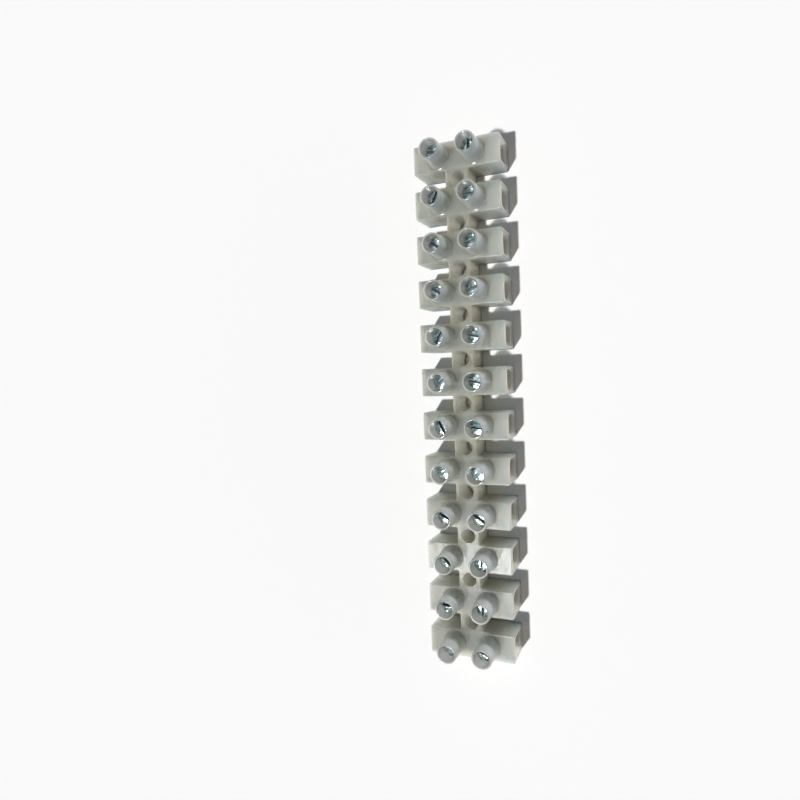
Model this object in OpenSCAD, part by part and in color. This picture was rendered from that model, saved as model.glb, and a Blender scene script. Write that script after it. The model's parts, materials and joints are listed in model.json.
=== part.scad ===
// Pillar terminal block with 12 poles: a moulded strip of blocks with hollow screw towers, a brass
// sleeve in each block and two slotted clamp screws on each sleeve.
// X runs across the strip along the wires, Y along the strip, Z up the towers.
// The origin is the middle of the flat base. The sizes grow outwards from the wire: bore, sleeve,
// channel, block and then the strip, so each piece follows the one that it holds.

/* [Terminal sleeve] */
// Diameter of the wire bore
wire_bore_d = 3.3; // [3:0.1:4.5]
// Brass under the wire bore
sleeve_floor = 0.95; // [0.6:0.05:1.5]
// Brass over the wire bore, which the tapped holes go through
sleeve_roof = 1.05; // [0.8:0.05:2]
// Brass on each side of the wire bore
sleeve_side = 0.4; // [0.3:0.05:1.2]
// Brass past the tapped holes at each end
sleeve_end = 1.2; // [0.6:0.1:3]

/* [Clamp screw] */
// Distance between a pole's two screws
screw_spacing = 8; // [6.5:0.1:12]
// Diameter of the threaded shank
shank_d = 2.9; // [2:0.1:3.2]
// Gap around the shank in its tapped hole
thread_gap = 0.05; // [0.02:0.01:0.1]
// How far the head stands out past the shank
head_overhang = 0.27; // [0.15:0.01:0.5]
// Height of the head
head_h = 1.7; // [1.4:0.1:2.4]
// Chamfer around the head's top and the shank's tip
screw_chamfer = 0.25; // [0.1:0.05:0.4]
// Width of the slot
slot_w = 0.6; // [0.4:0.05:1]
// Depth of the slot
slot_depth = 0.8; // [0.4:0.05:1.2]
// Gap between the shank's tip and the wire bore
tip_gap = 0.15; // [0.1:0.05:0.5]

/* [Wire channel] */
// Gap beside and over the sleeve
sleeve_gap = 0.1; // [0.05:0.01:0.2]
// Plastic on each side of the channel
channel_wall = 1; // [0.7:0.05:2]
// Plastic under the channel
channel_floor = 1.8; // [0.8:0.1:4]
// Plastic over the channel
channel_roof = 1.1; // [0.9:0.05:3]
// Rounding of the channel's corners
channel_r = 0.8; // [0.3:0.1:1.2]
// Length of channel past each end of the sleeve
entry_depth = 3.15; // [2.4:0.05:6]
// Depth of the flared mouth
mouth_depth = 1.2; // [0.6:0.1:2]
// How far the mouth flares out
mouth_flare = 0.3; // [0.1:0.05:0.5]

/* [Screw towers] */
// Height of the towers above the blocks
tower_h = 6.6; // [5.5:0.1:12]
// Gap around the screw's head in the tower
head_gap = 0.08; // [0.03:0.01:0.1]
// Depth of the screw's head below the tower's mouth
head_depth = 3; // [1:0.1:3.4]
// Plastic around the bore at the mouth
tower_wall = 0.45; // [0.3:0.05:0.6]
// How much thicker the wall is at the foot
tower_draft = 0.15; // [0.05:0.05:0.3]
// Height of the flared foot
foot_h = 0.4; // [0.2:0.1:1]
// How far the foot flares out
foot_flare = 0.35; // [0.1:0.05:0.4]

/* [Strip] */
// Diameter of the fixing hole in each web
fixing_hole_d = 3.2; // [2:0.1:5]
// Plastic on each side of the fixing hole
web_wall = 0.9; // [0.6:0.05:2]
// Length of web between the fixing hole and each block
web_margin = 0.25; // [0.1:0.05:2]
// Rounding of the blocks' upright edges
edge_r = 0.35; // [0.1:0.05:0.6]

/* [Hidden] */
poles = 12;
// short way that solids reach into one another, so that they join or cut cleanly
lap = 0.1;
// facets asked for on round shapes
round_fn = 64;
tapped_d = shank_d + 2 * thread_gap;
head_d = shank_d + 2 * head_overhang;
sleeve_w = wire_bore_d + 2 * sleeve_side;
sleeve_h = sleeve_floor + wire_bore_d + sleeve_roof;
sleeve_l = screw_spacing + tapped_d + 2 * sleeve_end;
sleeve_r = channel_r - sleeve_gap;
channel_w = sleeve_w + 2 * sleeve_gap;
channel_h = sleeve_h + sleeve_gap;
channel_z = channel_floor + channel_h / 2;
channel_top = channel_floor + channel_h;
block_w = sleeve_l + 2 * entry_depth;
block_l = channel_w + 2 * channel_wall;
body_h = channel_top + channel_roof;
gap_l = fixing_hole_d + 2 * web_margin;
pitch = block_l + gap_l;
web_w = fixing_hole_d + 2 * web_wall;
tower_bore_d = head_d + 2 * head_gap;
tower_tip_d = tower_bore_d + 2 * tower_wall;
tower_base_d = tower_tip_d + 2 * tower_draft;
foot_d = tower_base_d + 2 * foot_flare;
total_h = body_h + tower_h;
bore_z = channel_floor + sleeve_floor + wire_bore_d / 2;
tip_z = bore_z + wire_bore_d / 2 + tip_gap;
head_top = total_h - head_depth;
head_base = head_top - head_h;
// direction of each screw's slot in degrees from X, left and right screw of each pole
slot_turn = [
    [-10, 85], [65, 0], [-40, 15], [-35, 20], [65, -15], [45, -15],
    [-65, -10], [30, 40], [-30, -35], [-45, 85], [-5, 90], [60, -25]
];

// Place along the strip of pole 1 to 12, the first at the +Y end
function pole_y(pole) = ((poles + 1) / 2 - pole) * pitch;

// Rectangle with rounded corners, centred
module rounded_rect(w, l, r) {
    square([w - 2 * r, l], center = true);
    square([w, l - 2 * r], center = true);
    for (x = [-1, 1], y = [-1, 1]) {
        translate([x * (w / 2 - r), y * (l / 2 - r)]) circle(r, $fn = round_fn);
    }
}

// Rounded bar along X, centred across, with its underside at height z
module bar_x(l, w, h, r, z) {
    translate([-l / 2, 0, z + h / 2]) rotate([90, 0, 90]) linear_extrude(l) rounded_rect(w, h, r);
}

// Plan of the strip, with its blocks, webs and fixing holes
module strip_plan() {
    difference() {
        union() {
            for (pole = [1:poles]) {
                translate([0, pole_y(pole)]) rounded_rect(block_w, block_l, edge_r);
            }
            for (pole = [1:poles - 1]) {
                translate([0, pole_y(pole) - pitch / 2]) square([web_w, gap_l + 2 * lap], center = true);
            }
        }
        for (pole = [1:poles - 1]) {
            translate([0, pole_y(pole) - pitch / 2]) circle(d = fixing_hole_d, $fn = round_fn);
        }
    }
}

// Outside of one tower, standing on the block's top face
module tower_outside() {
    rotate_extrude($fn = round_fn) polygon([
        [0, body_h - lap], [foot_d / 2, body_h - lap], [foot_d / 2, body_h],
        [tower_base_d / 2, body_h + foot_h], [tower_tip_d / 2, total_h], [0, total_h]
    ]);
}

// Flared mouth of the wire channel, cut from its inner end at X = 0 out along +X
module channel_mouth() {
    run = mouth_depth + lap;
    flare = mouth_flare * run / mouth_depth;
    across = channel_w / 2 - channel_r;
    up = channel_h / 2 - channel_r;
    translate([0, across, 0]) rotate([90, 0, 0]) linear_extrude(2 * across) {
        mouth_side(channel_h / 2, run, flare);
    }
    translate([0, 0, -up]) linear_extrude(2 * up) mouth_side(channel_w / 2, run, flare);
    for (y = [-across, across], z = [-up, up]) {
        translate([0, y, z]) rotate([0, 90, 0]) {
            cylinder(h = run, r1 = channel_r, r2 = channel_r + flare, $fn = round_fn);
        }
    }
}

// Lengthwise section of the mouth, widening from its inner end
module mouth_side(half, run, flare) {
    polygon([[0, -half], [run, -half - flare], [run, half + flare], [0, half]]);
}

// The moulded strip
module housing() {
    color("gainsboro") difference() {
        union() {
            linear_extrude(body_h) strip_plan();
            for (pole = [1:poles], side = [-1, 1]) {
                translate([side * screw_spacing / 2, pole_y(pole), 0]) tower_outside();
            }
        }
        for (pole = [1:poles]) {
            translate([0, pole_y(pole), 0]) {
                bar_x(block_w + 2 * lap, channel_w, channel_h, channel_r, channel_floor);
                for (side = [0, 1]) {
                    mirror([side, 0, 0]) translate([block_w / 2 - mouth_depth, 0, channel_z]) channel_mouth();
                }
                for (side = [-1, 1]) {
                    translate([side * screw_spacing / 2, 0, channel_top - lap]) {
                        cylinder(h = total_h, d = tower_bore_d, $fn = round_fn);
                    }
                }
            }
        }
    }
}

// One brass sleeve, lying on the floor of its channel
module terminal_sleeve(pole) {
    color("goldenrod") translate([0, pole_y(pole), 0]) difference() {
        bar_x(sleeve_l, sleeve_w, sleeve_h, sleeve_r, channel_floor);
        translate([-sleeve_l / 2 - lap, 0, bore_z]) rotate([0, 90, 0]) {
            cylinder(h = sleeve_l + 2 * lap, d = wire_bore_d, $fn = round_fn);
        }
        for (side = [-1, 1]) {
            translate([side * screw_spacing / 2, 0, bore_z]) {
                cylinder(h = sleeve_h, d = tapped_d, $fn = round_fn);
            }
        }
    }
}

// One clamp screw, on the left (-1) or right (1) of its pole
module clamp_screw(pole, side) {
    turn = slot_turn[pole - 1][side < 0 ? 0 : 1];
    color("silver") translate([side * screw_spacing / 2, pole_y(pole), 0]) difference() {
        rotate_extrude($fn = round_fn) polygon([
            [0, tip_z], [shank_d / 2 - screw_chamfer, tip_z], [shank_d / 2, tip_z + screw_chamfer],
            [shank_d / 2, head_base], [head_d / 2, head_base], [head_d / 2, head_top - screw_chamfer],
            [head_d / 2 - screw_chamfer, head_top], [0, head_top]
        ]);
        translate([0, 0, head_top - slot_depth]) rotate([0, 0, turn]) {
            translate([-head_d, -slot_w / 2, 0]) cube([2 * head_d, slot_w, slot_depth + lap]);
        }
    }
}

housing();
terminal_sleeve(1);  // terminal_sleeve_01
terminal_sleeve(2);  // terminal_sleeve_02
terminal_sleeve(3);  // terminal_sleeve_03
terminal_sleeve(4);  // terminal_sleeve_04
terminal_sleeve(5);  // terminal_sleeve_05
terminal_sleeve(6);  // terminal_sleeve_06
terminal_sleeve(7);  // terminal_sleeve_07
terminal_sleeve(8);  // terminal_sleeve_08
terminal_sleeve(9);  // terminal_sleeve_09
terminal_sleeve(10);  // terminal_sleeve_10
terminal_sleeve(11);  // terminal_sleeve_11
terminal_sleeve(12);  // terminal_sleeve_12
clamp_screw(1, -1);  // clamp_screw_01_left
clamp_screw(1, 1);  // clamp_screw_01_right
clamp_screw(2, -1);  // clamp_screw_02_left
clamp_screw(2, 1);  // clamp_screw_02_right
clamp_screw(3, -1);  // clamp_screw_03_left
clamp_screw(3, 1);  // clamp_screw_03_right
clamp_screw(4, -1);  // clamp_screw_04_left
clamp_screw(4, 1);  // clamp_screw_04_right
clamp_screw(5, -1);  // clamp_screw_05_left
clamp_screw(5, 1);  // clamp_screw_05_right
clamp_screw(6, -1);  // clamp_screw_06_left
clamp_screw(6, 1);  // clamp_screw_06_right
clamp_screw(7, -1);  // clamp_screw_07_left
clamp_screw(7, 1);  // clamp_screw_07_right
clamp_screw(8, -1);  // clamp_screw_08_left
clamp_screw(8, 1);  // clamp_screw_08_right
clamp_screw(9, -1);  // clamp_screw_09_left
clamp_screw(9, 1);  // clamp_screw_09_right
clamp_screw(10, -1);  // clamp_screw_10_left
clamp_screw(10, 1);  // clamp_screw_10_right
clamp_screw(11, -1);  // clamp_screw_11_left
clamp_screw(11, 1);  // clamp_screw_11_right
clamp_screw(12, -1);  // clamp_screw_12_left
clamp_screw(12, 1);  // clamp_screw_12_right
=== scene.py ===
"""Looks of a pillar terminal block, laid out as a Blender add-on.

Lengths are in metres in the part's own frame: X runs across the strip along the wires, Y along the strip
and Z up the screw towers.
"""

import json
import math

import bmesh
import bpy
from mathutils import Matrix, Vector


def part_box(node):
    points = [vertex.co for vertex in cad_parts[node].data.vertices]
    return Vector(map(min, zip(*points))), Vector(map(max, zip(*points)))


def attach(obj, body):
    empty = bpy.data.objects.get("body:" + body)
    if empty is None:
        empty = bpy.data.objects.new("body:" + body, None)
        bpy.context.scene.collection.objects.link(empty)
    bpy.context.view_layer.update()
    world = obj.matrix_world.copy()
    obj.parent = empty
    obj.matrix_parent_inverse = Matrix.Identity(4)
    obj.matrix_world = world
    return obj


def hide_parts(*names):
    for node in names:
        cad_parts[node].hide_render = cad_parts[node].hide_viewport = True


bl_info = {
    "name": "Pillar terminal block",
    "version": (1, 0, 0),
    "blender": (4, 5, 0),
    "location": "3D View > Sidebar > Terminal block",
    "description": "Moulded strip, brass sleeves, clamp screws and stage of a pillar terminal block",
    "category": "Object",
}

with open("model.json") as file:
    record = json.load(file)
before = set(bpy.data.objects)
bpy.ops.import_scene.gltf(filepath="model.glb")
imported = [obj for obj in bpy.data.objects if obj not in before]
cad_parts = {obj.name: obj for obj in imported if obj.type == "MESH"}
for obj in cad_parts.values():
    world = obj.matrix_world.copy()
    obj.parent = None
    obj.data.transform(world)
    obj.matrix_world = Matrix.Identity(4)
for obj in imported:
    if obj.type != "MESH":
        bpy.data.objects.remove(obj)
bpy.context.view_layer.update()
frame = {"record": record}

# Layout of the strip, read from the frame
MM = 0.001
MOUNTS = {mount["name"]: mount for mount in frame["record"]["mounts"]}
FIXING_HOLE = MOUNTS["fixing_hole_01"]
WIRE_BORE = MOUNTS["wire_bore_01"]
STRIP_LOW, STRIP_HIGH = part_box("housing")
SLEEVE_LOW, SLEEVE_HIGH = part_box("terminal_sleeve_01")
SCREW_LOW, SCREW_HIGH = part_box("clamp_screw_01_right")
POLES = sum(name.startswith("wire_bore") for name in MOUNTS)
POLE_Y = [MOUNTS[f"wire_bore_{pole:02d}"]["pos_m"][1] for pole in range(1, POLES + 1)]
PITCH = POLE_Y[0] - POLE_Y[1]
BLOCK_W = STRIP_HIGH.x - STRIP_LOW.x
BLOCK_L = 2 * (STRIP_HIGH.y - POLE_Y[0])
TOTAL_H = STRIP_HIGH.z
BODY_H = FIXING_HOLE["dims"]["length_mm"] * MM
HOLE_R = FIXING_HOLE["dims"]["r_mm"] * MM
WIRE_R = WIRE_BORE["dims"]["r_mm"] * MM
WIRE_Z = WIRE_BORE["pos_m"][2]
SLEEVE_SIZE = SLEEVE_HIGH - SLEEVE_LOW
SCREW_X = (SCREW_LOW.x + SCREW_HIGH.x) / 2
SIDES = {"left": -1, "right": 1}

# Direction of each screw's slot in degrees from X, left and right screw of each pole
SLOT_TURN = [
    (-10, 85), (65, 0), (-40, 15), (-35, 20), (65, -15), (45, -15),
    (-65, -10), (30, 40), (-30, -35), (-45, 85), (-5, 90), (60, -25),
]

# Fineness of the meshes
ROUND_POINTS = 56
ARC_STEPS = 4
THREAD_STEPS = 8  # in one turn
CROWN_RINGS = (0.8, 0.6, 0.4, 0.2)  # in shares of the head's flat radius
LAP = 0.5 * MM
SMOOTH_ANGLE = math.radians(34)


# Kinds of setting


def length(name, description, default):
    """A length in metres"""
    return bpy.props.FloatProperty(
        name=name, description=description, default=default, min=0, precision=5, unit="LENGTH"
    )


def share(name, description, default):
    """A number from 0 to 1"""
    return bpy.props.FloatProperty(
        name=name, description=description, default=default, min=0, max=1, subtype="FACTOR"
    )


def amount(name, description, default):
    """A plain number"""
    return bpy.props.FloatProperty(name=name, description=description, default=default)


def turn(name, description, default):
    """An angle, given in degrees"""
    return bpy.props.FloatProperty(
        name=name, description=description, default=math.radians(default), subtype="ANGLE"
    )


def colour(name, description, default):
    """A colour, as linear red, green and blue"""
    return bpy.props.FloatVectorProperty(
        name=name, description=description, default=default, size=3, min=0, max=1, subtype="COLOR"
    )


def place(name, description, default):
    """A point, given in millimetres"""
    return bpy.props.FloatVectorProperty(
        name=name, description=description, default=[x * MM for x in default], size=3, unit="LENGTH"
    )


class HousingSettings(bpy.types.PropertyGroup):
    """Sizes, finish and painted glow and shade of the moulded strip"""

    web_width: length("Web width", "Width of the webs between the blocks", 5.0 * MM)
    upright_round: length("Upright edges", "Rounding of the blocks' upright edges", 0.35 * MM)
    web_corner: length("Web corners", "Rounding where a web meets its block", 0.3 * MM)
    top_round: length("Top edges", "Rounding of the blocks' top edges", 0.25 * MM)
    base_round: length("Base edges", "Rounding of the blocks' bottom edges", 0.12 * MM)
    tower_tip_r: length("Tower tip radius", "Outer radius of a tower at its mouth", 2.25 * MM)
    tower_base_r: length("Tower base radius", "Outer radius of a tower over its foot", 2.4 * MM)
    tower_bore_r: length("Tower bore radius", "Radius of the bore that holds the screw", 1.8 * MM)
    foot_fillet: length("Foot fillet", "Hollow fillet between a tower and its block", 0.38 * MM)
    rim_outer: length("Outer rim", "Rounding of a tower's rim on its outside", 0.27 * MM)
    rim_inner: length("Inner rim", "Rounding of a tower's rim on its inside", 0.15 * MM)
    channel_gap: length("Channel gap", "Room between a sleeve and its channel", 0.1 * MM)
    channel_corner: length("Channel corners", "Rounding of the channel's corners", 0.8 * MM)
    mouth_depth: length("Mouth depth", "Depth of the flared wire mouths", 1.2 * MM)
    mouth_flare: length("Mouth flare", "How far the wire mouths flare out", 0.3 * MM)
    mouth_lip: length("Mouth lip", "Rounding of the wire mouths' edges", 0.12 * MM)
    hole_lip: length("Hole lip", "Rounding of the fixing holes' edges", 0.18 * MM)
    plastic: colour("Plastic", "Colour of the milky plastic", (0.325, 0.392, 0.375))
    plastic_deep: colour("Deep plastic", "Colour over the sleeves", (0.425, 0.43, 0.365))
    # painted shade: the tops turn greyer near the blocks' ends, most at the left end
    end_shade_tint: colour("Grey tint", "Colour that the tops turn to near their ends", (0.20, 0.232, 0.218))
    # painted shade: the webs' tops are darker than the blocks' tops beside them
    web_shade_tint: colour("Web tint", "Colour of the webs' tops", (0.33, 0.335, 0.285))
    # painted glow: paler upright faces over the sleeves, standing in for light that leaks out of the plastic
    side_glow_tint: colour("Side tint", "Colour of the upright faces, where light leaks out", (0.53, 0.52, 0.42))
    # painted glow: the blocks' end faces are paler than the plain plastic, standing in for light that leaks
    # out of them
    end_glow_tint: colour("End tint", "Colour of the blocks' end faces", (0.48, 0.47, 0.39))
    tower_tint: colour("Tower tint", "Colour of the thin-walled towers", (0.60, 0.665, 0.585))
    # painted glow: the towers are paler and warmer near the blocks, standing in for light that comes through
    # their thin walls
    tower_foot_glow: colour("Tower foot", "Colour of the towers near the blocks", (0.85, 0.87, 0.64))
    # painted shade on the blocks' rounded edges outward of the screws, above the bottom band and below the
    # tops
    edge_shade_tint: colour("Edge tint", "Colour of the blocks' rounded edges", (0.30, 0.315, 0.285))
    # painted shade: the towers' rims are darker than the towers, standing in for light lost through the thin
    # walls
    rim_shade_tint: colour("Rim tint", "Colour of the towers' rims", (0.29, 0.305, 0.285))
    # painted shade down the towers' bores
    bore_shade_tint: colour("Bore tint", "Colour down the towers' bores", (0.25, 0.28, 0.29))
    # painted glow on the walls of the channels and the fixing holes
    channel_tint: colour("Channel tint", "Colour of the channels' glowing walls", (0.80, 0.73, 0.55))
    hole_tint: colour("Hole tint", "Colour of the fixing holes' glowing walls", (0.88, 0.84, 0.72))
    scatter_depth: length("Scatter depth", "How deep light wanders in the plastic", 14.0 * MM)
    far_pass: share("Far pass", "How much of a tower's light still shows further off", 0.45)
    wall_pass: colour("Wall pass", "Share of a lamp's light through each face of a tower", (0.78, 0.77, 0.75))
    matt: share("Matt", "Roughness of the textured faces", 0.5)
    gloss: share("Gloss", "Roughness of the smooth skin on towers and edges", 0.14)
    sheen_flat: share("Flat sheen", "Most of the smooth skin on the textured faces", 0.27)
    sheen_edge: share("Edge sheen", "Smooth skin on the blocks' top and bottom edges", 0.4)
    sheen_rim: share("Rim sheen", "Smooth skin on the towers' rims and feet", 0.9)
    sheen_tower: share("Tower sheen", "Smooth skin on the towers", 0.45)
    sheen_bore: share("Bore sheen", "Smooth skin down the towers' bores", 0.7)
    bore_glow: share("Bore glow", "Share of light from outside that shows down the towers' bores", 0.55)
    streak: share("Streak", "Scale of the grain along the strip, against 1 across it", 0.09)
    grain: share("Grain", "Strength of the fine grain on the blocks", 0.6)


class SleeveSettings(bpy.types.PropertyGroup):
    """Sizes and finish of the brass sleeves"""

    corner: length("Corners", "Rounding of the sleeve's long edges", 0.7 * MM)
    end_round: length("Ends", "Rounding around the sleeve's ends", 0.15 * MM)
    bore_lip: length("Bore lip", "Countersink around the wire bore", 0.2 * MM)
    tapped_r: length("Tapped hole radius", "Radius of the tapped holes", 1.5 * MM)
    brass: colour("Brass", "Colour of the bare brass", (0.72, 0.52, 0.24))
    tarnish: colour("Tarnish", "Colour of the duller patches", (0.46, 0.33, 0.16))
    matt: share("Matt", "Roughness of the drawn brass", 0.34)


class ScrewSettings(bpy.types.PropertyGroup):
    """Sizes, finish and painted slot shade of the clamp screws"""

    head_r: length("Head radius", "Radius of the head", 1.72 * MM)
    head_h: length("Head height", "Height of the head", 1.7 * MM)
    head_round: length("Head edge", "Rounding of the head's top edge", 0.25 * MM)
    shank_r: length("Shank radius", "Radius over the thread", 1.45 * MM)
    thread_pitch: length("Thread pitch", "Rise of the thread in one turn", 0.5 * MM)
    thread_depth: length("Thread depth", "Depth of the thread's groove", 0.27 * MM)
    tip_chamfer: length("Tip chamfer", "Chamfer around the shank's tip", 0.25 * MM)
    slot_w: length("Slot width", "Width of the driver slot", 0.6 * MM)
    slot_depth: length("Slot depth", "Depth of the driver slot", 0.8 * MM)
    slot_chamfer: length("Slot chamfer", "Chamfer along the slot's top edges", 0.06 * MM)
    zinc: colour("Zinc", "Colour of the bright zinc plating", (0.55, 0.64, 0.62))
    zinc_film: colour("Zinc film", "Colour where the passivated film is thick", (0.15, 0.25, 0.25))
    # painted shade down in the driver slot, deepening with depth
    slot_shade: colour("Slot shade", "Colour down in the driver slot", (0.09, 0.11, 0.13))
    matt: share("Matt", "Roughness of the plating", 0.1)
    crown: length("Crown", "How far the head swells towards its middle", 0.1 * MM)
    dents: length("Dents", "Depth of the uneven patches on the plating", 0.08 * MM)
    burrs: length("Burrs", "Depth of the cutter's lines along the slot", 0.05 * MM)


class StageSettings(bpy.types.PropertyGroup):
    """Camera, floor and light"""

    camera_at: place("Camera", "Place of the camera", (40.04, 7.5, 136.99))
    camera_aim: place("Aim", "Point in the middle of the picture", (-19.07, 0.74, 0))
    camera_roll: turn("Roll", "How far the picture is turned", 2.405)
    camera_lens: amount("Lens", "Focal length in mm on a 36 mm sensor", 26.97)
    floor_size: length("Floor", "Width of the floor", 6.0)
    floor_white: colour("Floor colour", "Colour of the floor", (0.98, 0.98, 0.975))
    lamp_slope: place("Lamp slope", "Direction towards the lamp", (-1.85, -2.66, 8.24))
    lamp_strength: amount("Lamp strength", "Light of the lamp in watts on each square metre", 2.75)
    lamp_width: turn("Lamp width", "Angle that the lamp spans", 3.0)
    room_tint: colour("Room", "Colour of the room's light", (0.95, 0.955, 1.0))
    backdrop: amount("Backdrop", "How pale the background is; 1 is white", 0.98)
    ceiling: amount("Ceiling", "Light from overhead", 0.125)
    left_wall: amount("Left wall", "Light from the foot of the left wall", 0.5)
    right_wall: amount("Right wall", "Light from the foot of the right wall", 1.8)
    wall_top: share("Wall top", "How far up the walls' light reaches; 1 is overhead", 0.35)


# Meshes through rings of points


def link(name, data):
    """New object in the scene for a mesh, a camera or a lamp"""
    made = bpy.data.objects.new(name, data)
    bpy.context.scene.collection.objects.link(made)
    return made


def skin(name, rings):
    """Closed object through rings of as many points each, with both ends capped"""
    shape = bmesh.new()
    loops = [[shape.verts.new(point) for point in ring] for ring in rings]
    for low, high in zip(loops, loops[1:]):
        for i in range(len(low)):
            shape.faces.new((low[i - 1], low[i], high[i], high[i - 1]))
    shape.faces.new(loops[0])
    shape.faces.new(loops[-1])
    bmesh.ops.recalc_face_normals(shape, faces=shape.faces)
    mesh = bpy.data.meshes.new(name)
    shape.to_mesh(mesh)
    shape.free()
    return link(name, mesh)


def arc(across, up, radius, start, end, steps=ARC_STEPS):
    """Points of an arc around (across, up), from one angle in degrees to another"""
    angles = [math.radians(start + (end - start) * i / steps) for i in range(steps + 1)]
    return [(across + radius * math.cos(a), up + radius * math.sin(a)) for a in angles]


def ring(radius, z):
    """Level circle around Z"""
    turns = [2 * math.pi * i / ROUND_POINTS for i in range(ROUND_POINTS)]
    return [(radius * math.cos(a), radius * math.sin(a), z) for a in turns]


def lathe(name, profile):
    """Object turned around Z from a profile of (radius, z)"""
    return skin(name, [ring(radius, z) for radius, z in profile])


def rounded_rect(width, height, radius):
    """Outline of a centred rectangle with rounded corners"""
    across, up = width / 2 - radius, height / 2 - radius
    corners = ((across, up, 0), (-across, up, 90), (-across, -up, 180), (across, -up, 270))
    return [point for x, y, a in corners for point in arc(x, y, radius, a, a + 90)]


def bar(name, middle_z, sections):
    """Object along X through sections of (x, width, height, corner radius)"""
    return skin(name, [
        [(x, y, middle_z + z) for y, z in rounded_rect(width, height, radius)]
        for x, width, height, radius in sections
    ])


def discard(*objects):
    """Removes blanks and cutters that are no longer needed"""
    for item in objects:
        bpy.data.objects.remove(item)


# Node trees


def feed(tree, node, inputs):
    """Links each input that is given a socket, or a list of them, and sets any other"""
    for name, value in inputs.items():
        for source in value if isinstance(value, list) else [value]:
            if isinstance(source, bpy.types.NodeSocket):
                tree.links.new(source, node.inputs[name])
            else:
                node.inputs[name].default_value = source


def add(tree, kind, inputs=None, **attributes):
    """New node with its attributes and inputs"""
    node = tree.nodes.new(kind)
    for name, value in attributes.items():
        setattr(node, name, value)
    feed(tree, node, inputs or {})
    return node


def calc(tree, operation, *values, **attributes):
    """Result of a sum, product or other operation on numbers"""
    return add(tree, "ShaderNodeMath", dict(enumerate(values)), operation=operation, **attributes).outputs[0]


def vector_calc(tree, operation, *values):
    """Result of an operation on vectors"""
    return add(tree, "ShaderNodeVectorMath", dict(enumerate(values)), operation=operation).outputs[0]


def over(start, span, scale=1):
    """Both ends of a span that is measured from a start"""
    return [start + scale * way for way in span]


def ramp(tree, value, start, end, low=0.0, high=1.0):
    """Number that goes from low to high as a value goes from start to end"""
    inputs = {"Value": value, "From Min": start, "From Max": end, "To Min": low, "To Max": high}
    return add(tree, "ShaderNodeMapRange", inputs).outputs[0]


def new_tree(name, inputs):
    """Geometry node tree with named inputs after its geometry; returns it with its input node"""
    tree = bpy.data.node_groups.new(name, "GeometryNodeTree")
    tree.interface.new_socket("Geometry", in_out="INPUT", socket_type="NodeSocketGeometry")
    tree.interface.new_socket("Geometry", in_out="OUTPUT", socket_type="NodeSocketGeometry")
    for label, kind in inputs.items():
        tree.interface.new_socket(label, in_out="INPUT", socket_type=f"NodeSocket{kind}")
    return tree, tree.nodes.new("NodeGroupInput")


def close_tree(tree, geometry, material):
    """Ends a tree: real mesh, smooth faces with sharp corners kept, and its material"""
    real = add(tree, "GeometryNodeRealizeInstances", {"Geometry": geometry}).outputs[0]
    faces = add(tree, "GeometryNodeSetShadeSmooth", {"Geometry": real, "Shade Smooth": True}).outputs[0]
    bend = add(tree, "GeometryNodeInputMeshEdgeAngle").outputs["Unsigned Angle"]
    gentle = add(tree, "FunctionNodeCompare", {"A": bend, "B": SMOOTH_ANGLE}, operation="LESS_THAN")
    edges = add(
        tree, "GeometryNodeSetShadeSmooth",
        {"Geometry": faces, "Shade Smooth": gentle.outputs[0]}, domain="EDGE",
    ).outputs[0]
    painted = add(tree, "GeometryNodeSetMaterial", {"Geometry": edges, "Material": material}).outputs[0]
    add(tree, "NodeGroupOutput", {"Geometry": painted})
    return tree


def shape_of(tree, item):
    """Geometry of an object that is an input of the tree"""
    return add(tree, "GeometryNodeObjectInfo", {"Object": item, "As Instance": False}).outputs["Geometry"]


def copies(tree, points, shape):
    """Instances of a shape on points"""
    return add(tree, "GeometryNodeInstanceOnPoints", {"Points": points, "Instance": shape}).outputs[0]


def marked(tree, geometry, name):
    """Geometry whose faces all carry a mark, so that a finish can tell them apart after a cut"""
    return add(
        tree, "GeometryNodeStoreNamedAttribute", {"Geometry": geometry, "Name": name, "Value": 1.0},
        data_type="FLOAT", domain="FACE").outputs[0]


def boolean(tree, operation, **meshes):
    """Solid boolean of meshes"""
    names = {"first": "Mesh 1", "others": "Mesh 2"}
    inputs = {names[key]: value for key, value in meshes.items()}
    return add(tree, "GeometryNodeMeshBoolean", inputs, operation=operation, solver="MANIFOLD").outputs[0]


def finished(name, blank, tree, values):
    """Plain mesh object that a tree makes of a blank"""
    modifier = blank.modifiers.new("shape", "NODES")
    modifier.node_group = tree
    for socket in tree.interface.items_tree:
        if socket.in_out == "INPUT" and socket.name in values:
            modifier[socket.identifier] = values[socket.name]
    normals = blank.modifiers.new("normals", "WEIGHTED_NORMAL")
    normals.keep_sharp = True
    normals.weight = 100
    blank.update_tag()
    depsgraph = bpy.context.evaluated_depsgraph_get()
    mesh = bpy.data.meshes.new_from_object(blank.evaluated_get(depsgraph))
    mesh.name = name
    blank.modifiers.clear()
    if not mesh.polygons:
        raise RuntimeError(f"{name} came out empty")
    return link(name, mesh)


# Finishes

GRAIN_SCALE = 4200.0
GRAIN_NOISE = {"Detail": 3.0, "Roughness": 0.6}
CLOUD_NOISE = {"Detail": 2.0, "Roughness": 0.5}
# Middle range of a noise, which is spread over a finish's own range
NOISE_RANGE = (0.3, 0.7)

# Where one finish or painted tint of the plastic fades into the next
TOWER_FADE = (0.1 * MM, 0.4 * MM)  # above the blocks' tops
# the towers' painted glow at their feet fades out up the tower
TIP_FADE = (0.3, 0.8)  # up a tower, in shares of its height
RIM_FADE = (1.2, 0.3)  # below a tower's mouth, in shares of its rim's rounding
SLEEVE_FADE = (0.6 * MM, -0.8 * MM)  # past a sleeve's end, give or take the clouds
CLOUD_SHIFT = 1.5 * MM
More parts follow.
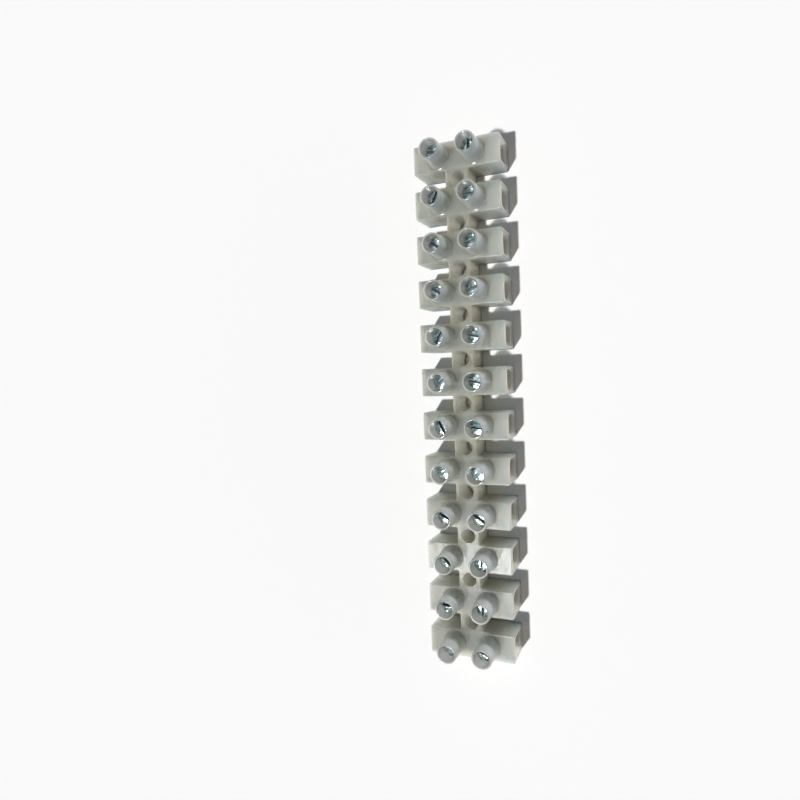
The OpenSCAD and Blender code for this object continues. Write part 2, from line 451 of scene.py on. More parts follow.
# painted shade on the tops' ends: the next two fades say where it sets in, RIGHT_SHADE how much of it the
# right ends take
LEFT_FADE = (0.5 * MM, 4.5 * MM)  # outward from the left screws
RIGHT_FADE = (3.0 * MM, 6.0 * MM)  # outward from the right screws
RIGHT_SHADE = 0.5  # how grey the tops turn at the right, against 1 at the left
# the painted shade on the webs' tops fades out past a web's ends
WEB_FADE = (0.3 * MM, -0.3 * MM)  # past a web's ends
MOUTH_FADE = (0.05 * MM, 0.25 * MM)  # inward from the blocks' end faces
SQUARE_FADE = (0.9998, 0.998)  # how square a normal is on a flat face, and on a rounded edge
LEAST_SLOPE = 0.05  # of a normal on the blocks' top and bottom edges
BASE_BAND = 0.5 * MM  # height of the bottom edges
HAIR = 0.001 * MM
PASS_FADE = (9.0 * MM, 6.5 * MM)  # behind a tower, from its darkest shadow to its palest

# Grain of the plastic, and how far its roughness strays
MOTTLE = 0.06
SMOOTH_GRAIN = 0.1  # share of the grain that is left on the smooth parts
GRAIN_DEPTH = 0.08 * MM
PLASTIC_STRAY = (-0.05, 0.05)

# Patches and lines of the brass
TARNISH_FADE = (0.45, 0.8)
BRASS_STRAY = (-0.08, 0.08)
DRAWN_DEPTH = 0.01 * MM

# Patches, painted slot shade and turned rings of the zinc
FILM_FADE = (0.42, 0.62)
ZINC_STRAY = (-0.04, 0.06)
SLOT_FADE = (-0.1 * MM, -0.4 * MM)  # down from the head's top
SLOT_CLEAR = 0.01 * MM
SLOT_MATT = 0.45
RING_STEP = 0.09 * MM
RING_DEPTH = 0.003 * MM


def fine_grain():
    """Shader group: a fine grain and broad clouds, for moulded, plated and drawn surfaces alike"""
    name = "fine_grain"
    if name in bpy.data.node_groups:
        return bpy.data.node_groups[name]
    tree = bpy.data.node_groups.new(name, "ShaderNodeTree")
    for label, kind in (("Vector", "Vector"), ("Grain Scale", "Float"), ("Cloud Scale", "Float")):
        tree.interface.new_socket(label, in_out="INPUT", socket_type=f"NodeSocket{kind}")
    noises = {"Grain": GRAIN_NOISE, "Cloud": CLOUD_NOISE}
    for label in noises:
        tree.interface.new_socket(label, in_out="OUTPUT", socket_type="NodeSocketFloat")
    given = tree.nodes.new("NodeGroupInput").outputs
    add(tree, "NodeGroupOutput", {
        label: add(tree, "ShaderNodeTexNoise", {
            "Vector": given["Vector"], "Scale": given[f"{label} Scale"], **noise}).outputs["Fac"]
        for label, noise in noises.items()
    })
    return tree


def new_material(name, grain_scale, cloud_scale):
    """Material with a Principled shader; returns it with its tree, shader, coordinates and grain"""
    material = bpy.data.materials.new(name)
    material.use_nodes = True
    tree = material.node_tree
    where = add(tree, "ShaderNodeTexCoord").outputs["Object"]
    grain = add(tree, "ShaderNodeGroup", node_tree=fine_grain())
    feed(tree, grain, {"Vector": where, "Grain Scale": grain_scale, "Cloud Scale": cloud_scale})
    return material, tree, tree.nodes["Principled BSDF"], where, grain.outputs


def rgba(value):
    """Colour for a node's input; a socket stays as it is"""
    return value if isinstance(value, bpy.types.NodeSocket) else (*value, 1)


def mixed(tree, factor, first, second):
    """Colour that goes from one to another as a factor goes from 0 to 1"""
    inputs = {0: factor, 6: rgba(first), 7: rgba(second)}
    return add(tree, "ShaderNodeMix", inputs, data_type="RGBA").outputs[2]


def eased(tree, factor, first, second):
    """Number that goes from one to another as a factor goes from 0 to 1"""
    return add(tree, "ShaderNodeMix", {0: factor, 2: first, 3: second}).outputs[0]


def spread_of(tree, noise, low, high):
    """Number from low to high as a noise goes through its middle range"""
    return ramp(tree, noise, *NOISE_RANGE, low, high)


def drawn_lines(tree, where, stretch, scale, shift=(0, 0, 0), noise=CLOUD_NOISE):
    """Noise that is drawn out into lines"""
    drawn = add(tree, "ShaderNodeMapping", {"Vector": where, "Location": shift, "Scale": stretch}).outputs[0]
    return add(tree, "ShaderNodeTexNoise", {"Vector": drawn, "Scale": scale, **noise}).outputs["Fac"]


def bump_of(tree, height, strength, depth, normal=None):
    """Normal with a height's bumps"""
    inputs = {"Height": height, "Strength": strength, "Distance": depth}
    if normal is not None:
        inputs["Normal"] = normal
    return add(tree, "ShaderNodeBump", inputs).outputs[0]


def plastic_marks(tree, settings, where, cloud):
    """Marks for the parts of the moulding, each 1 on its part and 0 elsewhere"""
    at = add(tree, "ShaderNodeSeparateXYZ", {0: where}).outputs
    across = calc(tree, "ABSOLUTE", at["X"])
    facing = add(tree, "ShaderNodeNewGeometry").outputs["Normal"]
    side = add(tree, "ShaderNodeSeparateXYZ", {0: vector_calc(tree, "ABSOLUTE", facing)}).outputs
    marks = {
        name: add(tree, "ShaderNodeAttribute", attribute_name=name).outputs["Fac"]
        for name in ("bore", "channel", "hole")
    }
    within = ramp(tree, across, *over(BLOCK_W / 2, MOUTH_FADE, -1))
    marks["channel"] = calc(tree, "MULTIPLY", marks["channel"], within)

    marks["tower"] = ramp(tree, at["Z"], *over(BODY_H, TOWER_FADE))
    marks["tip"] = ramp(tree, at["Z"], *over(BODY_H, TIP_FADE, TOTAL_H - BODY_H))
    # the rims take painted shade in the colour and full sheen in the coat
    marks["rim"] = ramp(tree, at["Z"], *over(TOTAL_H, RIM_FADE, -settings.rim_outer))

    uneven = calc(tree, "MULTIPLY_ADD", cloud, CLOUD_SHIFT, across)
    marks["sleeve"] = ramp(tree, uneven, *over((SLEEVE_SIZE.x + CLOUD_SHIFT) / 2, SLEEVE_FADE))
    # painted glow on the long sides over the sleeves
    marks["glowing_side"] = calc(tree, "MULTIPLY", side["Y"], marks["sleeve"])
    # painted glow on the blocks' end faces
    marks["end"] = side["X"]

    # painted shade on the tops' ends, fullest at the left
    left = ramp(tree, at["X"], *over(-SCREW_X, LEFT_FADE, -1))
    right = ramp(tree, at["X"], *over(SCREW_X, RIGHT_FADE), high=RIGHT_SHADE)
    marks["shaded_end_top"] = calc(tree, "MULTIPLY", calc(tree, "MAXIMUM", left, right), side["Z"])
    # painted shade on the webs' tops
    along = calc(tree, "PINGPONG", at["Y"], PITCH / 2)
    web = ramp(tree, along, *over((PITCH - BLOCK_L) / 2, WEB_FADE))
    marks["shaded_web_top"] = calc(tree, "MULTIPLY", web, side["Z"])

    squarest = calc(tree, "MAXIMUM", calc(tree, "MAXIMUM", side["X"], side["Y"]), side["Z"])
    rounded = ramp(tree, squarest, *SQUARE_FADE)
    above = calc(tree, "GREATER_THAN", at["Z"], BODY_H - HAIR)
    sloped = calc(tree, "GREATER_THAN", side["Z"], LEAST_SLOPE)
    marks["rounded"] = rounded
    marks["smooth"] = calc(tree, "MAXIMUM", rounded, marks["tower"])
    marks["foot"] = calc(tree, "MINIMUM", rounded, above)
    marks["level_edge"] = calc(tree, "MINIMUM", rounded, sloped)
    low = calc(tree, "LESS_THAN", at["Z"], BASE_BAND)
    inner = calc(tree, "LESS_THAN", across, SCREW_X)
    # painted shade on the blocks' rounded edges
    marks["shaded_block_edge"] = rounded
    for other in (above, low, inner, marks["channel"], marks["hole"], marks["bore"]):
        marks["shaded_block_edge"] = calc(tree, "SUBTRACT", marks["shaded_block_edge"], other, use_clamp=True)
    return marks


def plastic_colour(tree, settings, marks, grain):
    """Milky colour with painted glow and shade that changes from part to part, and a faint mottle on the
    textured faces
    """
    shown = mixed(tree, marks["sleeve"], settings.plastic, settings.plastic_deep)
    # painted glow at the towers' feet, fading to the towers' own colour towards the tip
    tube = mixed(tree, marks["tip"], settings.tower_foot_glow, settings.tower_tint)
    # painted glow on the long sides, end faces, tower feet, channels and holes; painted shade on the tops'
    # ends, the webs' tops, the rims, the bores and the block edges
    for name, tint in (
            ("glowing_side", settings.side_glow_tint), ("end", settings.end_glow_tint),
            ("shaded_end_top", settings.end_shade_tint), ("shaded_web_top", settings.web_shade_tint),
            ("tower", tube), ("bore", settings.bore_shade_tint), ("rim", settings.rim_shade_tint),
            ("channel", settings.channel_tint), ("hole", settings.hole_tint),
            ("shaded_block_edge", settings.edge_shade_tint)):
        shown = mixed(tree, marks[name], shown, tint)
    mottle = spread_of(tree, grain, 1 - MOTTLE, 1 + MOTTLE)
    value = eased(tree, marks["smooth"], mottle, 1.0)
    return add(tree, "ShaderNodeHueSaturation", {"Color": shown, "Value": value}).outputs[0]


def plastic_sheen(tree, settings, marks, grain):
    """Share of smooth skin: broken up on the textured faces, fullest on rims and feet"""
    sheen = spread_of(tree, grain, 0.0, settings.sheen_flat)
    for name, most in (
            ("rounded", 0.0), ("level_edge", settings.sheen_edge), ("foot", settings.sheen_rim),
            ("tower", settings.sheen_tower), ("bore", settings.sheen_bore), ("rim", settings.sheen_rim)):
        sheen = eased(tree, marks[name], sheen, most)
    return sheen


def plastic_relief(tree, settings, marks, where):
    """Normal with a fine grain that runs along the strip and fades on the smooth parts"""
    streaks = drawn_lines(tree, where, (1, settings.streak, 1), GRAIN_SCALE, noise=GRAIN_NOISE)
    depth = ramp(tree, marks["smooth"], 0.0, 1.0, 1.0, SMOOTH_GRAIN)
    return bump_of(tree, calc(tree, "MULTIPLY", streaks, depth), settings.grain, GRAIN_DEPTH)


def plastic_material(settings):
    """Milky, translucent moulding: grained blocks, and smooth towers that let light through"""
    material, tree, shader, where, grain = new_material("milky_plastic", GRAIN_SCALE, cloud_scale=180)
    marks = plastic_marks(tree, settings, where, grain["Cloud"])
    normal = plastic_relief(tree, settings, marks, where)
    feed(tree, shader, {
        "Base Color": plastic_colour(tree, settings, marks, grain["Grain"]),
        "Roughness": spread_of(tree, grain["Cloud"], *over(settings.matt, PLASTIC_STRAY)),
        "Specular IOR Level": 0.05,
        "IOR": 1.5,
        "Coat Weight": plastic_sheen(tree, settings, marks, grain["Grain"]),
        "Coat Roughness": settings.gloss,
        "Normal": normal,
        "Coat Normal": normal,
        "Subsurface Weight": ramp(tree, marks["bore"], 0.0, 1.0, 1.0, settings.bore_glow),
        "Subsurface Radius": (1.0, 0.92, 0.8),
        "Subsurface Scale": settings.scatter_depth,
    })
    ray = add(tree, "ShaderNodeLightPath").outputs
    near = ramp(tree, ray["Ray Length"], *PASS_FADE, low=settings.far_pass)
    passed = mixed(tree, calc(tree, "MULTIPLY", marks["tower"], near), (0, 0, 0), settings.wall_pass)
    clear = add(tree, "ShaderNodeBsdfTransparent", {"Color": passed}).outputs[0]
    surface = add(tree, "ShaderNodeMixShader", {
        0: ray["Is Shadow Ray"], 1: shader.outputs[0], 2: clear}).outputs[0]
    feed(tree, tree.nodes["Material Output"], {"Surface": surface})
    return material


def brass_material(settings):
    """Drawn brass with fine lines along the sleeve"""
    material, tree, shader, where, grain = new_material("drawn_brass", grain_scale=5000, cloud_scale=400)
    lines = drawn_lines(tree, where, stretch=(0.02, 1, 1), scale=9000.0)
    dull = ramp(tree, grain["Cloud"], *TARNISH_FADE)
    feed(tree, shader, {
        "Base Color": mixed(tree, dull, settings.brass, settings.tarnish),
        "Roughness": spread_of(tree, lines, *over(settings.matt, BRASS_STRAY)),
        "Normal": bump_of(tree, lines, strength=0.3, depth=DRAWN_DEPTH),
        "Metallic": 1,
    })
    return material


def slot_mark(tree, settings, turned):
    """Mark of 1 down in the driver slot, where shade is painted, from coordinates along and across it"""
    at = add(tree, "ShaderNodeSeparateXYZ", {0: turned}).outputs
    half = settings.slot_w / 2 + SLOT_CLEAR
    inside = calc(tree, "LESS_THAN", calc(tree, "ABSOLUTE", at["Y"]), half)
    return calc(tree, "MULTIPLY", inside, ramp(tree, at["Z"], *SLOT_FADE))


def plated_relief(tree, settings, turned, where, cloud):
    """Normal with dents, the cutter's lines along the slot and the fine rings of the lathe"""
    level = vector_calc(tree, "MULTIPLY", turned, (1, 1, 0))
    square = add(tree, "ShaderNodeVectorMath", {0: level, 1: level}, operation="DOT_PRODUCT")
    radius = calc(tree, "SQRT", square.outputs["Value"])
    rings = calc(tree, "SINE", calc(tree, "MULTIPLY", radius, 2 * math.pi / RING_STEP))
    # each screw has its own stretch of the noise: one step of Y for each pole, and one of X for each side
    seat = vector_calc(tree, "SNAP", where, (0.1, PITCH, 1))
    lines = drawn_lines(tree, turned, stretch=(0.12, 1, 1), scale=2600.0, shift=seat)
    normal = bump_of(tree, cloud, strength=1.0, depth=settings.dents)
    normal = bump_of(tree, lines, strength=1.0, depth=settings.burrs, normal=normal)
    return bump_of(tree, rings, strength=0.1, depth=RING_DEPTH, normal=normal)


def zinc_material(settings):
    """Bright zinc plating over turned steel, uneven, with painted shade down in the slot"""
    material, tree, shader, where, grain = new_material("bright_zinc", GRAIN_SCALE, cloud_scale=1300)
    turned = add(tree, "ShaderNodeAttribute", attribute_name="turned").outputs["Vector"]
    slot = slot_mark(tree, settings, turned)
    film = ramp(tree, grain["Cloud"], *FILM_FADE)
    plating = mixed(tree, film, settings.zinc, settings.zinc_film)
    plain = spread_of(tree, grain["Grain"], *over(settings.matt, ZINC_STRAY))
    feed(tree, shader, {
        "Base Color": mixed(tree, slot, plating, settings.slot_shade),
        "Roughness": eased(tree, slot, plain, SLOT_MATT),
        "Normal": plated_relief(tree, settings, turned, where, grain["Cloud"]),
        "Metallic": 1,
    })
    return material


# The moulded strip


def strip_plan(settings, inset):
    """Outline of the blocks and webs, drawn in by an inset"""
    half_w, half_l, half_web = BLOCK_W / 2 - inset, BLOCK_L / 2 - inset, settings.web_width / 2 - inset
    outer, inner = settings.upright_round - inset, settings.web_corner + inset
    rising = sorted(POLE_Y)
    right = []
    for pole, y in enumerate(rising):
        if pole > 0:
            right.append((half_web, y - half_l, inner))
        right += [(half_w, y - half_l, outer), (half_w, y + half_l, outer)]
        if pole < POLES - 1:
            right.append((half_web, y + half_l, inner))
    corners = right + [(-x, y, radius) for x, y, radius in reversed(right)]
    outline = []
    for i, (x, y, radius) in enumerate(corners):
        corner = Vector((x, y))
        before = (Vector(corners[i - 1][:2]) - corner).normalized()
        after = (Vector(corners[(i + 1) % len(corners)][:2]) - corner).normalized()
        middle = corner + (before + after) * radius
        for across, up in arc(0, 0, radius, 0, 90):
            outline.append(middle - after * across - before * up)
    return outline


def strip_blank(settings):
    """Blocks and webs, with their edges rounded"""
    top, base = settings.top_round, settings.base_round
    profile = [(base - x, base + z) for x, z in arc(0, 0, base, -90, 0)]
    profile += [(top - x, BODY_H - top + z) for x, z in arc(0, 0, top, 0, 90)]
    return skin("strip_blank", [
        [(*point, z) for point in strip_plan(settings, inset)] for inset, z in profile
    ])


def tower_blank(settings):
    """Outside of one tower with its foot fillet and its rim"""
    foot, rim = settings.foot_fillet, settings.rim_outer
    foot_r, sunk = settings.tower_base_r + foot, 0.02 * MM
    profile = [(foot_r, BODY_H - LAP), (foot_r, BODY_H - sunk)]
    profile += arc(foot_r, BODY_H + foot, foot, 265, 180, 2 * ARC_STEPS)
    profile += arc(settings.tower_tip_r - rim, TOTAL_H - rim, rim, 0, 90)
    return lathe("tower_blank", profile)


def tower_cutter(settings):
    """Bore of one tower, widening at the rim"""
    lip, radius = settings.rim_inner, settings.tower_bore_r
    profile = [(radius, WIRE_Z)]
    profile += arc(radius + lip, TOTAL_H - lip, lip, 180, 90)
    profile.append((radius + lip, TOTAL_H + LAP))
    return lathe("tower_cutter", profile)


def channel_cutter(settings):
    """Wire channel with a flared mouth at each end"""
    width = SLEEVE_SIZE.y + 2 * settings.channel_gap
    height = SLEEVE_SIZE.z + settings.channel_gap
    inner, lip = BLOCK_W / 2 - settings.mouth_depth, settings.mouth_lip
    ends = [(inner, 0), (BLOCK_W / 2 - lip, settings.mouth_flare)]
    ends += [(BLOCK_W / 2 - lip + x, settings.mouth_flare + lip - z) for x, z in arc(0, 0, lip, 90, 0)[1:]]
    ends.append((BLOCK_W / 2 + LAP, settings.mouth_flare + lip))
    stations = [(-x, grow) for x, grow in reversed(ends)] + ends
    return bar("channel_cutter", SLEEVE_LOW.z + height / 2, [
        (x, width + 2 * grow, height + 2 * grow, settings.channel_corner + grow) for x, grow in stations
    ])


def hole_cutter(settings):
    """Fixing hole with rounded edges"""
    lip = settings.hole_lip
    profile = [(HOLE_R + lip, -LAP), (HOLE_R + lip, 0)]
    profile += [(HOLE_R + lip - x, z) for x, z in arc(0, 0, lip, 0, 90)][1:]
    profile += [(HOLE_R + lip - x, BODY_H - z) for x, z in arc(0, 0, lip, 90, 0)]
    profile.append((HOLE_R + lip, BODY_H + LAP))
    return lathe("hole_cutter", profile)


def strip_tree():
    """Node tree that sets the towers on the strip and cuts its bores, channels and fixing holes"""
    tree, given = new_tree("terminal_strip", {
        "Tower": "Object", "Tower bore": "Object", "Channel": "Object", "Fixing hole": "Object",
        "Poles": "Int", "Pitch": "Float", "Screw spacing": "Float", "Material": "Material",
    })
    take = given.outputs
    gaps = calc(tree, "SUBTRACT", take["Poles"], 1.0)
    run = calc(tree, "MULTIPLY", gaps, take["Pitch"])
    hole_run = calc(tree, "SUBTRACT", run, take["Pitch"])

    def row(count, reach):
        """Points along the strip, one pitch apart"""
        start = add(tree, "ShaderNodeCombineXYZ", {"Y": calc(tree, "MULTIPLY", reach, -0.5)}).outputs[0]
        step = add(tree, "ShaderNodeCombineXYZ", {"Y": take["Pitch"]}).outputs[0]
        return add(tree, "GeometryNodeMeshLine", {
            "Count": count, "Start Location": start, "Offset": step}).outputs[0]

    screws = add(tree, "GeometryNodeMeshGrid", {
        "Size X": take["Screw spacing"], "Size Y": run, "Vertices X": 2, "Vertices Y": take["Poles"],
    }).outputs["Mesh"]
    towers = copies(tree, screws, shape_of(tree, take["Tower"]))
    bores = copies(tree, screws, marked(tree, shape_of(tree, take["Tower bore"]), "bore"))
    channels = copies(tree, row(take["Poles"], run), marked(tree, shape_of(tree, take["Channel"]), "channel"))
    holes = copies(tree, row(gaps, hole_run), marked(tree, shape_of(tree, take["Fixing hole"]), "hole"))
    whole = boolean(tree, "UNION", others=[take["Geometry"], towers])
    cut = boolean(tree, "DIFFERENCE", first=whole, others=[bores, channels, holes])
    return close_tree(tree, cut, take["Material"])


class TERMINAL_OT_housing(bpy.types.Operator):
    """Moulds the strip with its towers, wire channels and fixing holes"""

    bl_idname = "terminal_block.housing"
    bl_label = "Housing"

    def execute(self, context):
        settings = context.scene.terminal_housing
        blank = strip_blank(settings)
        tools = {
            "Tower": tower_blank(settings), "Tower bore": tower_cutter(settings),
            "Channel": channel_cutter(settings), "Fixing hole": hole_cutter(settings),
        }
        layout = {"Poles": POLES, "Pitch": PITCH, "Screw spacing": 2 * SCREW_X}
        made = finished("moulded_housing", blank, strip_tree(), {
            **tools, **layout, "Material": plastic_material(settings)})
        discard(blank, *tools.values())
        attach(made, "strip")
        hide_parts("housing")
        return {"FINISHED"}


# The brass sleeves


def sleeve_blank(settings):
    """Brass bar with rounded edges"""
    long, wide, high = SLEEVE_SIZE
    end = settings.end_round
    ends = [(long / 2 - end + z, end - x) for x, z in arc(0, 0, end, 0, 90)]
    stations = [(-x, inset) for x, inset in reversed(ends)] + ends
    return bar("sleeve_blank", SLEEVE_LOW.z + high / 2, [
        (x, wide - 2 * inset, high - 2 * inset, settings.corner - inset) for x, inset in stations
    ])


def wire_cutter(settings):
    """Wire bore with a countersink at each end"""
    half, lip = SLEEVE_SIZE.x / 2, settings.bore_lip
    ends = [(half - lip, WIRE_R), (half, WIRE_R + lip), (half + LAP, WIRE_R + lip)]
    stations = [(-x, radius) for x, radius in reversed(ends)] + ends
    return skin("wire_cutter", [
        [(x, y, WIRE_Z + z) for y, z, _ in ring(radius, 0)] for x, radius in stations
    ])


def tapped_cutter(settings):
    """Tapped hole down into the wire bore"""
    return lathe("tapped_cutter", [(settings.tapped_r, WIRE_Z), (settings.tapped_r, SLEEVE_HIGH.z + LAP)])


def sleeve_tree():
    """Node tree that bores a sleeve and lays it in its channel"""
    tree, given = new_tree("terminal_sleeve", {
        "Wire bore": "Object", "Tapped hole": "Object", "Screw spacing": "Float", "Place": "Vector",
        "Material": "Material",
    })
    take = given.outputs
    screws = add(tree, "GeometryNodeMeshGrid", {
        "Size X": take["Screw spacing"], "Size Y": 0.0, "Vertices X": 2, "Vertices Y": 1}).outputs["Mesh"]
    holes = copies(tree, screws, shape_of(tree, take["Tapped hole"]))
    bored = boolean(
        tree, "DIFFERENCE", first=take["Geometry"], others=[shape_of(tree, take["Wire bore"]), holes])
    laid = add(tree, "GeometryNodeTransform", {"Geometry": bored, "Translation": take["Place"]}).outputs[0]
    return close_tree(tree, laid, take["Material"])


class TERMINAL_OT_sleeves(bpy.types.Operator):
    """Bores the brass sleeves and lays one in each channel"""

    bl_idname = "terminal_block.sleeves"
    bl_label = "Brass sleeves"

    def execute(self, context):
        settings = context.scene.terminal_sleeve
        blank = sleeve_blank(settings)
        tools = {"Wire bore": wire_cutter(settings), "Tapped hole": tapped_cutter(settings)}
        tree = sleeve_tree()
        material = brass_material(settings)
        for pole, y in enumerate(POLE_Y, start=1):
            made = finished(f"brass_sleeve_{pole:02d}", blank, tree, {
                **tools, "Screw spacing": 2 * SCREW_X, "Place": (0, y, 0), "Material": material})
            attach(made, "strip")
            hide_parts(f"terminal_sleeve_{pole:02d}")
        discard(blank, *tools.values())
        return {"FINISHED"}


# The clamp screws


def thread_ring(settings, z, fade):
    """Ring of the thread at one height; fade runs the groove out at the thread's ends"""
    points = []
    for x, y, _ in ring(1, 0):
        rise = z / settings.thread_pitch - math.atan2(y, x) / (2 * math.pi)
        groove = abs(2 * (rise % 1) - 1)
        radius = settings.shank_r - settings.thread_depth * groove * fade
        points.append((radius * x, radius * y, z))
    return points


def screw_blank(settings):
    """Screw with a threaded shank and a plain head, standing on its own axis"""
    tip, top = SCREW_LOW.z, SCREW_HIGH.z
    seat, chamfer, edge = top - settings.head_h, settings.tip_chamfer, settings.head_round
    rings = [ring(settings.shank_r - chamfer, tip)]
    low, high = tip + chamfer, seat - settings.thread_pitch / 2
    steps = round((high - low) / settings.thread_pitch * THREAD_STEPS)
    for i in range(steps + 1):
        fade = min(1, 2 * i / THREAD_STEPS, (steps - i) / THREAD_STEPS)
        rings.append(thread_ring(settings, low + (high - low) * i / steps, fade))
    neck, shoulder, under = 0.05 * MM, 0.03 * MM, 0.08 * MM
    rings.append(ring(settings.shank_r, seat - neck))
    profile = [(settings.shank_r + shoulder, seat)]
    profile += arc(settings.head_r - under, seat + under, under, -90, 0, 2)
    flat_r = settings.head_r - edge
    profile += arc(flat_r, top - settings.crown - edge, edge, 0, 90)
    profile += [(flat_r * out, top - settings.crown * out**2) for out in CROWN_RINGS]
    rings += [ring(radius, z) for radius, z in profile]
    return skin("screw_blank", rings)


def slot_cutter(settings):
    """Driver slot along X, with its top edges broken"""
    top, half, broken = SCREW_HIGH.z, settings.slot_w / 2, settings.slot_chamfer
    section = [
        (-half, top - settings.slot_depth), (half, top - settings.slot_depth), (half, top - broken),
        (half + broken, top), (half + broken, top + LAP), (-half - broken, top + LAP), (-half - broken, top),
        (-half, top - broken),
    ]
    reach = settings.head_r + LAP
    return skin("slot_cutter", [[(x, y, z) for y, z in section] for x in (-reach, reach)])


def screw_tree():
    """Node tree that slots a screw, turns it and sets it in its tower"""
    tree, given = new_tree("clamp_screw", {
        "Slot": "Object", "Turn": "Float", "Place": "Vector", "Material": "Material"})
    take = given.outputs
    slotted = boolean(tree, "DIFFERENCE", first=take["Geometry"], others=shape_of(tree, take["Slot"]))
    here = add(tree, "GeometryNodeInputPosition").outputs[0]
    below = vector_calc(tree, "SUBTRACT", here, (0, 0, SCREW_HIGH.z))
    measured = add(
        tree, "GeometryNodeStoreNamedAttribute", {"Geometry": slotted, "Name": "turned", "Value": below},
        data_type="FLOAT_VECTOR", domain="POINT").outputs[0]
    spin = add(tree, "ShaderNodeCombineXYZ", {"Z": take["Turn"]}).outputs[0]
    seated = add(tree, "GeometryNodeTransform", {
        "Geometry": measured, "Translation": take["Place"], "Rotation": spin}).outputs[0]
    return close_tree(tree, seated, take["Material"])


class TERMINAL_OT_screws(bpy.types.Operator):
    """Turns the clamp screws and sets one in each tower"""

    bl_idname = "terminal_block.screws"
    bl_label = "Clamp screws"

    def execute(self, context):
        settings = context.scene.terminal_screw
        blank, slot = screw_blank(settings), slot_cutter(settings)
        tree = screw_tree()
        material = zinc_material(settings)
        for pole, y in enumerate(POLE_Y, start=1):
            for (side, sign), angle in zip(SIDES.items(), SLOT_TURN[pole - 1]):
                made = finished(f"zinc_screw_{pole:02d}_{side}", blank, tree, {
                    "Slot": slot, "Turn": math.radians(angle), "Place": (sign * SCREW_X, y, 0),
                    "Material": material})
                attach(made, f"screw_{pole:02d}_{side}")
                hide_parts(f"clamp_screw_{pole:02d}_{side}")
        discard(blank, slot)
        return {"FINISHED"}


# Camera, floor and light


def make_camera(settings):
    """Camera at the picture's own angle"""
    data = bpy.data.cameras.new("camera")
    data.sensor_width = 36
    data.lens = settings.camera_lens
    data.clip_start = 5 * MM
    camera = link("camera", data)
    at, aim = Vector(settings.camera_at), Vector(settings.camera_aim)
    back = (at - aim).normalized()
    lean = Vector((math.sin(settings.camera_roll), math.cos(settings.camera_roll), 0))
    right = lean.cross(back).normalized()
    turned = Matrix((right, back.cross(right), back)).transposed()
    camera.matrix_world = Matrix.Translation(at) @ turned.to_4x4()
    bpy.context.scene.camera = camera


def make_floor(settings):
    """Pale floor under the strip"""
    half = settings.floor_size / 2
    mesh = bpy.data.meshes.new("floor")
    corners = [(-half, -half, 0), (half, -half, 0), (half, half, 0), (-half, half, 0)]
    mesh.from_pydata(corners, [], [(0, 1, 2, 3)])
    floor = link("floor", mesh)
    material = bpy.data.materials.new("pale_floor")
    material.use_nodes = True
    tree = material.node_tree
    feed(tree, tree.nodes["Principled BSDF"], {
        "Base Color": rgba(settings.floor_white), "Roughness": 0.9, "Specular IOR Level": 0})
    mesh.materials.append(material)


def make_lamp(settings):
    """One distant lamp whose shadows fall as in the picture"""
    data = bpy.data.lights.new("lamp", "SUN")
    data.energy = settings.lamp_strength
    data.angle = settings.lamp_width
    lamp = link("lamp", data)
    lamp.rotation_mode = "QUATERNION"
    lamp.rotation_quaternion = Vector(settings.lamp_slope).to_track_quat("Z", "Y")


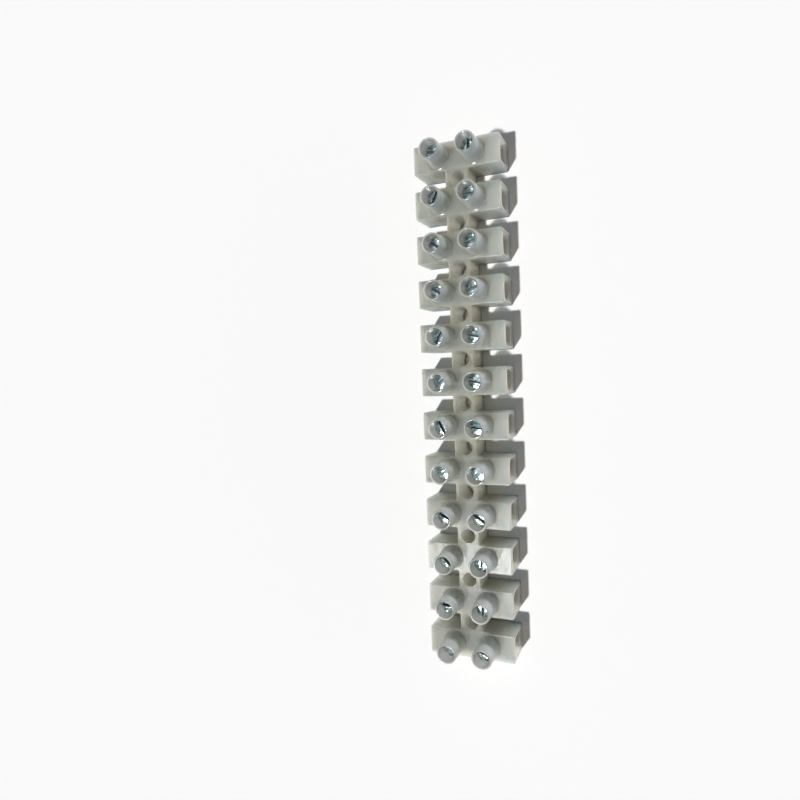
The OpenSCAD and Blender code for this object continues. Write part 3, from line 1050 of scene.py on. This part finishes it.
def make_room(settings):
    """Soft light from the room, and the pale backdrop that the camera, metal and gloss show"""
    world = bpy.data.worlds.new("room")
    bpy.context.scene.world = world
    world.use_nodes = True
    tree = world.node_tree
    tree.nodes.clear()
    outward = add(tree, "ShaderNodeTexCoord").outputs["Generated"]
    towards = add(tree, "ShaderNodeSeparateXYZ", {0: outward}).outputs
    walls = ramp(tree, towards["X"], -1.0, 1.0, settings.left_wall, settings.right_wall)
    light = eased(tree, ramp(tree, towards["Z"], 0.0, settings.wall_top), walls, settings.ceiling)
    ray = add(tree, "ShaderNodeLightPath").outputs
    shown = ray["Is Camera Ray"]
    for kind in ("Is Glossy Ray", "Is Transmission Ray"):
        shown = calc(tree, "MAXIMUM", shown, ray[kind])
    room = add(tree, "ShaderNodeBackground", {
        "Color": rgba(settings.room_tint), "Strength": eased(tree, shown, light, settings.backdrop)})
    add(tree, "ShaderNodeOutputWorld", {"Surface": room.outputs[0]})


class TERMINAL_OT_stage(bpy.types.Operator):
    """Sets up the camera, the floor and the light"""

    bl_idname = "terminal_block.stage"
    bl_label = "Stage"

    def execute(self, context):
        settings = context.scene.terminal_stage
        make_camera(settings)
        make_floor(settings)
        make_lamp(settings)
        make_room(settings)
        context.scene.view_settings.view_transform = "Standard"
        return {"FINISHED"}


class TERMINAL_PT_panel(bpy.types.Panel):
    """Lists the pieces of the terminal block with their settings"""

    bl_idname = "TERMINAL_PT_panel"
    bl_label = "Pillar terminal block"
    bl_space_type = "VIEW_3D"
    bl_region_type = "UI"
    bl_category = "Terminal block"

    def draw(self, context):
        for operator, (name, group) in zip(OPERATORS, GROUPS.items()):
            box = self.layout.box()
            box.operator(operator.bl_idname)
            for setting in group.__annotations__:
                box.prop(getattr(context.scene, name), setting)


GROUPS = {
    "terminal_housing": HousingSettings,
    "terminal_sleeve": SleeveSettings,
    "terminal_screw": ScrewSettings,
    "terminal_stage": StageSettings,
}
OPERATORS = (TERMINAL_OT_housing, TERMINAL_OT_sleeves, TERMINAL_OT_screws, TERMINAL_OT_stage)


def register():
    """Makes the settings, operators and panel known to Blender"""
    for name, group in GROUPS.items():
        bpy.utils.register_class(group)
        setattr(bpy.types.Scene, name, bpy.props.PointerProperty(type=group))
    for item in (*OPERATORS, TERMINAL_PT_panel):
        bpy.utils.register_class(item)


def unregister():
    """Takes the panel, operators and settings away again"""
    for item in (TERMINAL_PT_panel, *reversed(OPERATORS)):
        bpy.utils.unregister_class(item)
    for name, group in reversed(GROUPS.items()):
        delattr(bpy.types.Scene, name)
        bpy.utils.unregister_class(group)


def main():
    """Builds every piece and the stage"""
    register()
    bpy.ops.terminal_block.housing()
    bpy.ops.terminal_block.sleeves()
    bpy.ops.terminal_block.screws()
    bpy.ops.terminal_block.stage()


if __name__ == "__main__":
    main()
